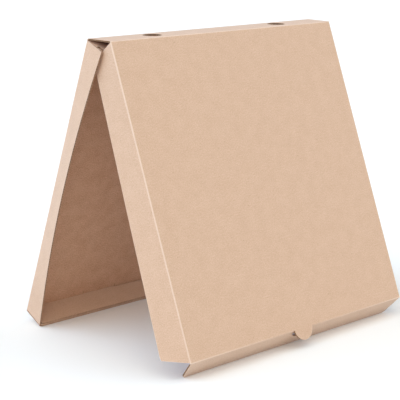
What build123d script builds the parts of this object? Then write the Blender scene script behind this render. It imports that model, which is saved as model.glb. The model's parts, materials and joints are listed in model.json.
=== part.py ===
"""One-piece folded pizza box in corrugated board, stood up as a tent.

The box is a single die-cut sheet.  The tray is folded up and locked, the spine joins
tray and lid, and the lid carries two side flaps, a tuck flap and a thumb tab.
It stands on the tray's rolled front rim and on the free edge of the tuck flap.

Frame: millimetres, X along the hinge creases, +Y on the tray's side, +Z up, origin on
the ground at the middle of the object's box.
"""
from build123d import *
import math
import os

# Board
board = 1.5
half = board / 2
crease_round = 0.96 * half
hinge_gap = 0.2
hinge_start = half + hinge_gap
layer_gap = 0.15
bend = 1.0

# Tray
tray_width = 330.0
floor_length = 335.5
side_height = 28.75
front_height = 29.4
front_lean = 6.5
wall_flare_rear = 8.0
wall_flare_front = 3.0
wall_bow = 11.5
wall_stations = 7
lock_tab_width = 40.0
lock_tab_spread = 63.5
lock_slot_gap = 0.3

# Corner flaps of the tray
wall_start = 1.1
corner_reach = 58.0
corner_foot = 1.3
corner_height = 24.0
corner_relief = 10.0
corner_taper = 8.0

# Spine
spine_depth = 33.4
spine_inset = 0.6
vent_diameter = 20.0
vent_spread = 92.5
vent_place = 16.0

# Lid
lid_width = 325.6
lid_length = 327.0
thumb_width = 27.0
thumb_reach = 12.8

# Lid side flaps
side_flap_depth = 31.3
side_flap_inset = 1.0
side_flap_open_rear = 1.0
side_flap_open_front = 24.0
side_flap_stations = 7
side_flap_rear_mitre = 12.0
side_flap_front_mitre = 9.5
side_flap_closest = 45.0

# Tuck flap at the lid's front
tuck_depth = 28.0
tuck_fold = 62.5
tuck_taper = 5.3
tuck_corner = 4.0
thumb_hole_gap = 0.8

# Standing pose: how far each leg leans from upright
lid_lean = 20.84
tray_lean = 20.91


def polar(angle):
    """Unit direction in the YZ plane, counted from +Y towards +Z."""
    return Vector(0, math.cos(math.radians(angle)), math.sin(math.radians(angle)))


def sheet_plane(origin, angle):
    """Plane of a panel: local x along the hinge, local y down the panel."""
    along = polar(angle)
    return Plane(origin=origin, x_dir=(1, 0, 0), z_dir=Vector(1, 0, 0).cross(along))


def section_plane(origin, angle, side):
    """Cross-section of a panel: local x down the panel, local y towards the inside."""
    return Plane(origin=origin, x_dir=polar(angle), z_dir=(side, 0, 0))


def strip_plane(origin, angle, inward_angle, lean):
    """Cross-section of a left-hand wall or flap: local y up the strip, leaning outwards."""
    tilt = math.radians(lean)
    height = polar(inward_angle) * math.cos(tilt) - Vector(math.sin(tilt), 0, 0)
    return Plane(origin=origin, x_dir=height.cross(polar(angle)), z_dir=polar(angle))


def hinge_cut(closest):
    """Where a panel's outer and inner faces start, clear of the next panel's round edge.

    The cut is a straight bevel that lies along the next panel's inner face when the fold
    is closed to the angle given.  At 90 degrees it is square, hinge_start from the axis.
    """
    rise = math.radians(closest)
    outer = (hinge_start - half * math.cos(rise)) / math.sin(rise)
    inner = (hinge_start + half * math.cos(rise)) / math.sin(rise)
    return outer, inner


# Directions of the panels, in the YZ plane
lid_angle = -90 - lid_lean
tuck_angle = lid_angle + tuck_fold
tray_angle = -90 + tray_lean
front_angle = tray_angle - 90 + front_lean
front_face_angle = front_angle + 90

# Height of each hinge above the ground, from the foot below it
tuck_drop = tuck_depth * -polar(tuck_angle).Z + half * polar(tuck_angle).Y
lid_leg = lid_length * -polar(lid_angle).Z + tuck_drop
rim_round = bend + half
rim_centre = (
    polar(tray_angle) * floor_length
    + polar(front_angle) * (front_height - bend)
    - polar(front_face_angle) * bend
)
tray_leg = rim_round - rim_centre.Z
spine_angle = 180 - math.degrees(math.asin((lid_leg - tray_leg) / spine_depth))

# Place along Y that centres the object's box on the origin
thumb_tip = (
    polar(spine_angle) * spine_depth
    + polar(lid_angle) * (lid_length + thumb_reach)
    - polar(lid_angle + 90) * half
)
front_bend_centre = (
    polar(tray_angle) * (floor_length - bend * math.tan(math.radians(45 - front_lean / 2)))
    + polar(tray_angle - 90) * bend
)
tray_hinge = Vector(0, -(thumb_tip.Y + front_bend_centre.Y + rim_round) / 2, tray_leg)
lid_hinge = tray_hinge + polar(spine_angle) * spine_depth
tuck_hinge = lid_hinge + polar(lid_angle) * lid_length

tray_section = section_plane(tray_hinge, tray_angle, -1)
spine_section = section_plane(tray_hinge, spine_angle, 1)
spine_sheet = sheet_plane(tray_hinge, spine_angle)
lid_section = section_plane(lid_hinge, lid_angle, 1)
lid_sheet = sheet_plane(lid_hinge, lid_angle)
tuck_sheet = sheet_plane(tuck_hinge, tuck_angle)

# Front wall in the tray's section: outer layer, rim, inner layer with its locking tabs
front_up = Vector(math.sin(math.radians(front_lean)), math.cos(math.radians(front_lean)))
front_out = Vector(front_up.Y, -front_up.X)
layer_step = 2 * board + 2 * layer_gap
floor_corner = Vector(floor_length, 0)
rim_outer = floor_corner + front_up * front_height
rim_inner = rim_outer - front_out * layer_step
inner_run = (rim_inner.Y - half - layer_gap) / front_up.Y
inner_foot = rim_inner - front_up * inner_run
lock_end = inner_foot - front_up * (board + layer_gap)
wall_axis = tray_width / 2 - half


def wall_flare(part_way):
    """Lean of a side wall away from square, in degrees, at a part of its length."""
    straight = wall_flare_rear + (wall_flare_front - wall_flare_rear) * part_way
    return straight + wall_bow * 4 * part_way * (1 - part_way)


# --- Tray: floor, two bowed side walls, four corner flaps, rolled front wall ---
with BuildPart() as tray:
    # Left side wall, lofted along the floor's edge because it bows outwards
    for station in range(wall_stations):
        part_way = station / (wall_stations - 1)
        reach = wall_start + (floor_length + board - wall_start) * part_way
        place = tray_hinge + polar(tray_angle) * reach + Vector(-wall_axis, 0, 0)
        with BuildSketch(strip_plane(place, tray_angle, tray_angle - 90, wall_flare(part_way))):
            with Locations((0, side_height / 2)):
                Rectangle(board, side_height)
    loft()
    # The wall stops short of the front wall's outer layer
    with BuildSketch(tray_section):
        with BuildLine():
            wall_stop = floor_corner - front_out * (half + layer_gap)
            stop_top = wall_stop + front_up * (2 * side_height)
            stop_foot = wall_stop - front_up * side_height
            Polyline(stop_foot, stop_top, stop_top + front_out * side_height,
                     stop_foot + front_out * side_height, close=True)
        make_face()
    extrude(amount=tray_width, both=True, mode=Mode.SUBTRACT)
    # Rear corner flap, folded in behind the spine and relieved next to its crease
    rear_end = Plane(origin=tray_hinge + polar(tray_angle) * wall_start,
                     x_dir=(1, 0, 0), z_dir=polar(tray_angle))
    rear_slope = math.tan(math.radians(wall_flare_rear))
    with BuildSketch(rear_end):
        with BuildLine():
            relief_rise = corner_height - corner_relief
            relief_root = -wall_axis - corner_relief * rear_slope
            Polyline(
                (-wall_axis - corner_foot * rear_slope, corner_foot),
                (-wall_axis + corner_reach, corner_foot),
                (-wall_axis + corner_reach - corner_taper, corner_height),
                (relief_root + relief_rise, corner_height),
                (relief_root, corner_relief),
                close=True,
            )
        make_face()
    extrude(amount=board)
    # Front corner flap, held between the two layers of the front wall
    front_slope = math.tan(math.radians(wall_flare_front))
    pocket = Plane(
        origin=tray_section.from_local_coords(floor_corner - front_out * layer_step / 2),
        x_dir=(1, 0, 0),
        z_dir=polar(front_face_angle),
    )
    with BuildSketch(pocket):
        with BuildLine():
            Polyline(
                (-wall_axis - corner_foot * front_slope, corner_foot),
                (-wall_axis + corner_reach, corner_foot),
                (-wall_axis + corner_reach - corner_taper, corner_height),
                (-wall_axis - corner_height * front_slope, corner_height),
                close=True,
            )
        make_face()
    extrude(amount=half, both=True)
    # Rounded crease along the floor's edge
    crease_run = floor_length - board - wall_start
    crease_start = tray_hinge + polar(tray_angle) * wall_start + Vector(-wall_axis, 0, 0)
    with BuildSketch(Plane(origin=crease_start, x_dir=(1, 0, 0), z_dir=polar(tray_angle))):
        Circle(crease_round)
    extrude(amount=crease_run)
    mirror(about=Plane.YZ)
    # Floor and the front wall's outer layer, one ribbon of board
    with BuildSketch(tray_section):
        with BuildLine():
            FilletPolyline((0, 0), floor_corner, rim_outer - front_up * rim_round, radius=bend)
        trace(line_width=board)
        with Locations((0, 0)):
            Rectangle(2 * hinge_start, 2 * board, mode=Mode.SUBTRACT)
    extrude(amount=wall_axis, both=True)
    # The outer layer runs out to the full width of the tray
    with BuildSketch(tray_section):
        with BuildLine():
            Polyline(floor_corner + front_up * bend, rim_outer - front_up * rim_round)
        trace(line_width=board)
    extrude(amount=tray_width / 2, both=True)
    # Rim and inner layer, between the side walls
    with BuildSketch(tray_section):
        with BuildLine():
            FilletPolyline(rim_outer - front_up * 2 * rim_round, rim_outer, rim_inner, inner_foot,
                           radius=bend)
        trace(line_width=board)
    extrude(amount=wall_axis - half - hinge_gap, both=True)
    # Slots in the floor and the locking tabs that pass into them
    with BuildSketch(tray_section):
        with BuildLine():
            Polyline(inner_foot, lock_end)
        trace(line_width=board + 2 * lock_slot_gap)
    lock_slot = extrude(amount=lock_tab_width / 2 + lock_slot_gap, both=True, mode=Mode.PRIVATE)
    with BuildSketch(tray_section):
        with BuildLine():
            Polyline(inner_foot + front_up * half, lock_end)
        trace(line_width=board)
    lock_tab = extrude(amount=lock_tab_width / 2, both=True, mode=Mode.PRIVATE)
    for side in (-1, 1):
        spread = Pos(side * lock_tab_spread, 0, 0)
        add(spread * lock_slot, mode=Mode.SUBTRACT)
        add(spread * lock_tab)

# --- Spine: the back wall between tray and lid, with two steam vents ---
with BuildPart() as spine:
    with BuildSketch(spine_sheet):
        with BuildLine():
            tray_side = tray_width / 2 - spine_inset
            lid_side = lid_width / 2
            Polyline(
                (-tray_side, 0),
                (tray_side, 0),
                (lid_side, spine_depth - hinge_start),
                (-lid_side, spine_depth - hinge_start),
                close=True,
            )
        make_face()
        with Locations((-vent_spread, vent_place), (vent_spread, vent_place)):
            Circle(vent_diameter / 2, mode=Mode.SUBTRACT)
    extrude(amount=half, both=True)
    with BuildSketch(spine_section):
        Circle(crease_round)
    extrude(amount=tray_width / 2 - spine_inset, both=True)

# --- Lid: top panel with rounded creases and a thumb tab in its plane ---
with BuildPart() as lid:
    with BuildSketch(lid_sheet):
        with Locations((0, lid_length / 2)):
            Rectangle(lid_width, lid_length + board)
    extrude(amount=half, both=True)
    fillet(lid.edges().filter_by(lambda edge: edge.length > 2 * board), radius=crease_round)
    with BuildSketch(lid_sheet):
        with Locations((0, lid_length + thumb_reach - thumb_width / 2)):
            Circle(thumb_width / 2)
        with Locations((0, lid_length - thumb_width)):
            Rectangle(2 * thumb_width, 2 * thumb_width - board, mode=Mode.SUBTRACT)
    extrude(amount=half, both=True)

# --- Left side flap of the lid: a twisted strip that springs outwards at the front ---
with BuildPart() as lid_left_flap:
    flap_outer, flap_inner = hinge_cut(side_flap_closest)
    flap_axis = lid_width / 2 - half
    flap_run = lid_length - 2 * side_flap_inset
    for station in range(side_flap_stations):
        part_way = station / (side_flap_stations - 1)
        opening = side_flap_open_rear + (side_flap_open_front - side_flap_open_rear) * part_way
        reach = side_flap_inset + flap_run * part_way
        place = lid_hinge + polar(lid_angle) * reach + Vector(-flap_axis, 0, 0)
        with BuildSketch(strip_plane(place, lid_angle, lid_angle + 90, opening)):
            Polygon(
                (half, flap_outer),
                (half, side_flap_depth),
                (-half, side_flap_depth),
                (-half, flap_inner),
                align=None,
            )
    loft()
    with BuildSketch(lid_section):
        with BuildLine():
            Polyline((0, 0), (side_flap_rear_mitre, side_flap_depth),
                     (side_flap_rear_mitre, 2 * side_flap_depth), (-board, 2 * side_flap_depth),
                     (-board, 0), close=True)
        make_face()
        with BuildLine():
            front_cut = lid_length - side_flap_front_mitre
            Polyline((lid_length, 0), (front_cut, side_flap_depth),
                     (front_cut, 2 * side_flap_depth), (lid_length + board, 2 * side_flap_depth),
                     (lid_length + board, 0), close=True)
        make_face()
    extrude(amount=lid_width, both=True, mode=Mode.SUBTRACT)

# --- Right side flap: the mirror image of the left one ---
with BuildPart() as lid_right_flap:
    mirror(lid_left_flap.part, about=Plane.YZ)

# --- Tuck flap along the lid's front, with the hole that the thumb tab leaves ---
with BuildPart() as lid_front_flap:
    with BuildSketch(tuck_sheet):
        with BuildLine():
            root = lid_width / 2 - half
            tip = root - tuck_taper
            FilletPolyline(
                (-root, hinge_start),
                (-tip, tuck_depth),
                (tip, tuck_depth),
                (root, hinge_start),
                radius=tuck_corner,
            )
            Line((root, hinge_start), (-root, hinge_start))
        make_face()
        with Locations((0, thumb_reach - thumb_width / 2)):
            Circle(thumb_width / 2 + thumb_hole_gap, mode=Mode.SUBTRACT)
    extrude(amount=half, both=True)

pieces = {
    "tray": tray,
    "spine": spine,
    "lid": lid,
    "lid_left_flap": lid_left_flap,
    "lid_right_flap": lid_right_flap,
    "lid_front_flap": lid_front_flap,
}
os.makedirs("parts", exist_ok=True)
for name, piece in pieces.items():
    piece.part.label = name
    export_step(piece.part, f"parts/{name}.step")
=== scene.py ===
"""Folded pizza box in fine corrugated kraft board, standing open like a tent.

The box is one die-cut blank.  Each panel between two creases is built flat, as it lies in
the blank, with its liners and its fluting, and is then folded into its place.  The creases
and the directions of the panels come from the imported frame.  All sizes are in metres.
"""
import json
import logging
import math
from contextlib import contextmanager
from dataclasses import dataclass, field
from enum import Enum
from typing import Callable, Iterator, Optional, Sequence

import bpy
from mathutils import Matrix, Vector


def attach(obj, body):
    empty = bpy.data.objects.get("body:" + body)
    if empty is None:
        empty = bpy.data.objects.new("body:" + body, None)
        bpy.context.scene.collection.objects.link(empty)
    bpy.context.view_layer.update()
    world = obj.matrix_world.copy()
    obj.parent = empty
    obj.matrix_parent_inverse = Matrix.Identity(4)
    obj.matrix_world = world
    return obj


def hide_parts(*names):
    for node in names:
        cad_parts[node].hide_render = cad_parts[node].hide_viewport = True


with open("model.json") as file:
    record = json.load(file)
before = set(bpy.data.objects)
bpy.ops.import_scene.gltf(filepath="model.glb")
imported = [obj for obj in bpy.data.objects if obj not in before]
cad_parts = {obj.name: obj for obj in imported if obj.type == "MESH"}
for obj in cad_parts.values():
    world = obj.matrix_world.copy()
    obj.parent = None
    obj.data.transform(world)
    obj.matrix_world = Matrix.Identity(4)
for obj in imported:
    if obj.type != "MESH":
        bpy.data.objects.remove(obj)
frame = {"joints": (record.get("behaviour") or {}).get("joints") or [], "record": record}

log = logging.getLogger("pizza_box")
MM = 0.001
UV_NAME = "blank"
# Attribute that lightens the paper along creases and cut edges: partly rubbing of the paper,
# partly a painted highlight where a rounded edge catches the light.
WEAR_AND_HIGHLIGHT_NAME = "crease_wear_and_painted_highlight"
WEAR_AND_HIGHLIGHT_WIDTH = 0.5 * MM
FLUTE_PITCH = 3.05 * MM
# Segments of a punched corner and of a rounded crease, and sides of a round punch.
CORNER_SEGMENTS = 8
CREASE_SEGMENTS = 6
PUNCH_SIDES = 72
# Cells along a strip that is bent, enough for a smooth bow.
BEND_ROWS = 24
# A face is square to an axis when its normal's part along that axis is more than this.
SQUARE_ON = 0.99
# Lengths that count as nothing: for a straight cut, and between two places.
CUT_MARGIN = 1e-7
SAME_PLACE = 1e-6
SMOOTH_ANGLE = 40.0
# Width of one band of the Wave Texture at scale 1.
WAVE_BAND = math.pi / 10


# --------------------------------------------------------------------------------------
# Bench tools: small helpers round Blender's own operators
# --------------------------------------------------------------------------------------


def select_only(*objs: bpy.types.Object) -> None:
    """Makes these the only selected objects.

    Args:
        objs: the objects; the first becomes the active one.
    """
    bpy.ops.object.select_all(action="DESELECT")
    for obj in objs:
        obj.select_set(True)
    bpy.context.view_layer.objects.active = objs[0]


@contextmanager
def editing(obj: bpy.types.Object, kind: str = "VERT") -> Iterator[bpy.types.Mesh]:
    """Opens edit mode on one object with nothing selected, and closes it again.

    Args:
        obj: the object to edit.
        kind: what is selected, VERT, EDGE or FACE.

    Yields:
        The object's mesh.
    """
    select_only(obj)
    bpy.ops.object.mode_set(mode="EDIT")
    bpy.ops.mesh.select_mode(type=kind)
    bpy.ops.mesh.select_all(action="DESELECT")
    try:
        yield obj.data
    finally:
        bpy.ops.object.mode_set(mode="OBJECT")


def pick_verts(obj: bpy.types.Object, test: Callable[[Vector], bool]) -> None:
    """Selects vertices in edit mode.

    Args:
        obj: the object in edit mode.
        test: says from a vertex's place whether it is selected.
    """
    bpy.ops.mesh.select_all(action="DESELECT")
    bpy.ops.object.mode_set(mode="OBJECT")
    for vert in obj.data.vertices:
        vert.select = test(vert.co)
    bpy.ops.object.mode_set(mode="EDIT")


def pick_edges(obj: bpy.types.Object, test: Callable[[Vector, Vector], bool]) -> None:
    """Selects edges in edit mode.

    Args:
        obj: the object in edit mode.
        test: says from the places of an edge's two ends whether it is selected.
    """
    bpy.ops.mesh.select_all(action="DESELECT")
    bpy.ops.object.mode_set(mode="OBJECT")
    verts = obj.data.vertices
    for edge in obj.data.edges:
        edge.select = test(verts[edge.vertices[0]].co, verts[edge.vertices[1]].co)
    bpy.ops.object.mode_set(mode="EDIT")


def pick_faces(obj: bpy.types.Object, test: Callable[[Vector, Vector], bool]) -> None:
    """Selects faces in edit mode.

    Args:
        obj: the object in edit mode.
        test: says from a face's centre and normal whether it is selected.
    """
    bpy.ops.mesh.select_all(action="DESELECT")
    bpy.ops.object.mode_set(mode="OBJECT")
    for face in obj.data.polygons:
        face.select = test(face.center, face.normal)
    bpy.ops.object.mode_set(mode="EDIT")


def settle(obj: bpy.types.Object) -> None:
    """Puts an object's place, turn and size into its mesh."""
    select_only(obj)
    bpy.ops.object.transform_apply(location=True, rotation=True, scale=True)


def add_block(name: str, low: Vector, high: Vector) -> bpy.types.Object:
    """Adds a box between two corners.

    Args:
        name: the object's name.
        low: lowest corner.
        high: highest corner.

    Returns:
        The new object, its size in its mesh.
    """
    bpy.ops.mesh.primitive_cube_add(size=1, location=(low + high) / 2)
    obj = bpy.context.active_object
    obj.name = name
    obj.scale = high - low
    settle(obj)
    return obj


def add_grid(name: str, low: Vector, high: Vector, rows: int) -> bpy.types.Object:
    """Adds a flat grid between two corners at the height of the first.

    Args:
        name: the object's name.
        low: first corner.
        high: opposite corner.
        rows: number of cells along Y; there is one along X.

    Returns:
        The new object, its size in its mesh.
    """
    centre = Vector(((low.x + high.x) / 2, (low.y + high.y) / 2, low.z))
    bpy.ops.mesh.primitive_grid_add(
        x_subdivisions=1, y_subdivisions=rows, size=1, location=centre
    )
    obj = bpy.context.active_object
    obj.name = name
    obj.scale = (high.x - low.x, high.y - low.y, 1)
    settle(obj)
    return obj


def add_round_punch(centre: Vector, radius: float, tall: float) -> bpy.types.Object:
    """Adds a round punch that stands across a sheet.

    Args:
        centre: its middle.
        radius: its radius.
        tall: half its height.

    Returns:
        The new object.
    """
    bpy.ops.mesh.primitive_cylinder_add(
        vertices=PUNCH_SIDES, radius=radius, depth=2 * tall, location=centre
    )
    obj = bpy.context.active_object
    settle(obj)
    return obj


def add_die(
    corners: Sequence[tuple[float, float]],
    tall: float,
    radius: float = 0.0,
    rounded: Callable[[Vector], bool] = lambda place: True,
) -> bpy.types.Object:
    """Makes a four-sided die that stands across a sheet.

    Args:
        corners: X and Y of its corners, from low X and low Y anticlockwise.
        tall: half its height.
        radius: radius of its rounded corners, or 0.
        rounded: which corners are rounded, by their place.

    Returns:
        The new object.
    """
    die = add_block("die", Vector((-1, -1, -tall)), Vector((1, 1, tall)))
    with editing(die):
        for sign, corner in zip(((-1, -1), (1, -1), (1, 1), (-1, 1)), corners):
            start = Vector(sign)
            pick_verts(die, lambda co, start=start: (co.xy - start).length < SAME_PLACE)
            move = Vector(corner) - start
            bpy.ops.transform.translate(value=(move.x, move.y, 0))
    if radius:
        with editing(die, "EDGE"):
            pick_edges(die, lambda a, b: (a.xy - b.xy).length < SAME_PLACE and rounded(a))
            bpy.ops.mesh.bevel(offset=radius, segments=CORNER_SEGMENTS, profile=0.5)
    return die


def apply_modifier(obj: bpy.types.Object, name: str) -> None:
    """Applies one modifier to an object's mesh."""
    select_only(obj)
    bpy.ops.object.modifier_apply(modifier=name)


def thicken(obj: bpy.types.Object, thickness: float, offset: float) -> None:
    """Gives a sheet its thickness.

    Args:
        obj: the sheet.
        thickness: wall thickness.
        offset: 1 grows along the normal, -1 against it, 0 both ways.
    """
    solid = obj.modifiers.new("thickness", "SOLIDIFY")
    solid.thickness = thickness
    solid.offset = offset
    apply_modifier(obj, solid.name)


def punch(obj: bpy.types.Object, cutter: bpy.types.Object, keep_inside: bool = False) -> None:
    """Cuts a sheet with a punch and throws the punch away.

    Args:
        obj: the sheet to cut.
        cutter: closed mesh that does the cutting.
        keep_inside: True keeps what lies inside the punch, False what lies outside.
    """
    cut = obj.modifiers.new("punch", "BOOLEAN")
    cut.operation = "INTERSECT" if keep_inside else "DIFFERENCE"
    cut.solver = "EXACT"
    cut.object = cutter
    apply_modifier(obj, cut.name)
    bpy.data.objects.remove(cutter, do_unlink=True)


def slice_off(obj: bpy.types.Object, point: Vector, outward: Vector) -> None:
    """Trims a mesh with a straight cut and closes the cut face.

    Args:
        obj: the mesh to trim.
        point: a point on the cut.
        outward: what lies on this side of the point is removed.
    """
    with editing(obj):
        bpy.ops.mesh.select_all(action="SELECT")
        bpy.ops.mesh.bisect(
            plane_co=point,
            plane_no=outward,
            use_fill=True,
            clear_outer=True,
            threshold=CUT_MARGIN,
        )


def score(obj: bpy.types.Object, point: Vector, normal: Vector) -> None:
    """Adds a line of vertices across a mesh without cutting it.

    Args:
        obj: the mesh.
        point: a point on the line.
        normal: square to the plane of the line.
    """
    with editing(obj):
        bpy.ops.mesh.select_all(action="SELECT")
        bpy.ops.mesh.bisect(plane_co=point, plane_no=normal, threshold=CUT_MARGIN)


def join(name: str, parts: Sequence[bpy.types.Object]) -> bpy.types.Object:
    """Joins several meshes into one object.

    Args:
        name: the name of the object and of its mesh.
        parts: the objects to join; the first one takes the others in.

    Returns:
        The joined object.
    """
    select_only(*parts)
    bpy.ops.object.join()
    obj = bpy.context.active_object
    obj.name = name
    obj.data.name = name
    return obj


def face_outwards(obj: bpy.types.Object) -> None:
    """Turns every face of a closed mesh outwards.

    Args:
        obj: the mesh.
    """
    with editing(obj, "FACE"):
        bpy.ops.mesh.select_all(action="SELECT")
        bpy.ops.mesh.normals_make_consistent(inside=False)


def smooth(obj: bpy.types.Object) -> None:
    """Shades a mesh smoothly wherever its faces meet at a small angle."""
    select_only(obj)
    bpy.ops.object.shade_smooth_by_angle(angle=math.radians(SMOOTH_ANGLE))


def mirrored(obj: bpy.types.Object, name: str) -> bpy.types.Object:
    """Copies a piece to the other side of the box, with a mesh of its own.

    Args:
        obj: the piece, with its place in its mesh.
        name: the copy's name.

    Returns:
        The mirrored copy, its faces outwards.
    """
    select_only(obj)
    bpy.ops.object.duplicate(linked=False)
    copy = bpy.context.active_object
    copy.name = name
    copy.data.name = name
    copy.scale.x = -1
    settle(copy)
    face_outwards(copy)
    return copy


def lay_out_uv(obj: bpy.types.Object, shift: Vector) -> None:
    """Writes each corner's place in the flat blank, in metres, to the UV map.

    Args:
        obj: a piece that still lies flat.
        shift: where this panel lies in the blank.
    """
    layer = obj.data.uv_layers.get(UV_NAME) or obj.data.uv_layers.new(name=UV_NAME)
    for loop in obj.data.loops:
        place = obj.data.vertices[loop.vertex_index].co + shift
        layer.data[loop.index].uv = (place.x, place.y)


def wear_and_highlight_layer(mesh: bpy.types.Mesh) -> bpy.types.Attribute:
    """The attribute that says how far each vertex is lightened by rubbing and painted
    highlight, made if it is missing.
    """
    return mesh.attributes.get(WEAR_AND_HIGHLIGHT_NAME) or mesh.attributes.new(WEAR_AND_HIGHLIGHT_NAME, "FLOAT", "POINT")


def mark_wear_and_highlight(obj: bpy.types.Object, amount: Callable[[Vector], float]) -> None:
    """Writes how far each vertex is lightened by rubbing and painted highlight.

    Args:
        obj: the piece.
        amount: how far the paper is lightened at a place, by rubbing and painted highlight,
            from 0 to 1.
    """
    layer = wear_and_highlight_layer(obj.data)
    for vert in obj.data.vertices:
        layer.data[vert.index].value = amount(vert.co)


def band_edges(obj: bpy.types.Object, level: float, worn_and_highlight: Callable[[Vector], float]) -> None:
    """Runs a narrow band round the outer face of a flat sheet and marks it as lightened by
    rubbing and painted highlight.

    Args:
        obj: a sheet that still lies flat.
        level: faces above this height belong to the outer face.
        worn_and_highlight: how far the outline is lightened at a place, by rubbing and painted
            highlight, from 0 to 1.
    """
    with editing(obj, "FACE"):
        pick_faces(obj, lambda centre, normal: normal.z > SQUARE_ON and centre.z > level)
        bpy.ops.mesh.inset(thickness=WEAR_AND_HIGHLIGHT_WIDTH, use_boundary=True, use_even_offset=True)
    inside = {index for face in obj.data.polygons if face.select for index in face.vertices}
    layer = wear_and_highlight_layer(obj.data)
    for vert in obj.data.vertices:
        rim = vert.co.z > level and vert.index not in inside
        layer.data[vert.index].value = worn_and_highlight(vert.co) if rim else 0.0


# --------------------------------------------------------------------------------------
# Finishes
# --------------------------------------------------------------------------------------


def linear(hex_colour: str) -> tuple[float, float, float, float]:
    """Turns an sRGB colour into Blender's linear one.

    Args:
        hex_colour: a hash and six hex digits.

    Returns:
        Linear red, green, blue and alpha.
    """
    values = [int(hex_colour[i : i + 2], 16) / 255 for i in (1, 3, 5)]
    tones = [v / 12.92 if v <= 0.04045 else ((v + 0.055) / 1.055) ** 2.4 for v in values]
    return (*tones, 1.0)


def add_node(
    tree: bpy.types.NodeTree,
    kind: str,
    settings: Optional[dict] = None,
    inputs: Optional[dict] = None,
) -> bpy.types.Node:
    """Adds a node with its settings, values and links.

    Args:
        tree: the material's node tree.
        kind: the node's type name.
        settings: attributes to set on the node.
        inputs: a value, or another node's output socket, for each input by name or number.

    Returns:
        The new node.
    """
    node = tree.nodes.new(kind)
    for key, value in (settings or {}).items():
        setattr(node, key, value)
    for key, value in (inputs or {}).items():
        socket = node.inputs[key]
        if isinstance(value, bpy.types.NodeSocket):
            tree.links.new(value, socket)
        else:
            socket.default_value = value
    return node


def new_material(name: str) -> tuple[bpy.types.Material, bpy.types.NodeTree]:
    """Makes an empty node material.

    Args:
        name: the material's name.

    Returns:
        The material and its node tree.
    """
    material = bpy.data.materials.new(name)
    material.use_nodes = True
    material.node_tree.nodes.clear()
    return material, material.node_tree


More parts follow.
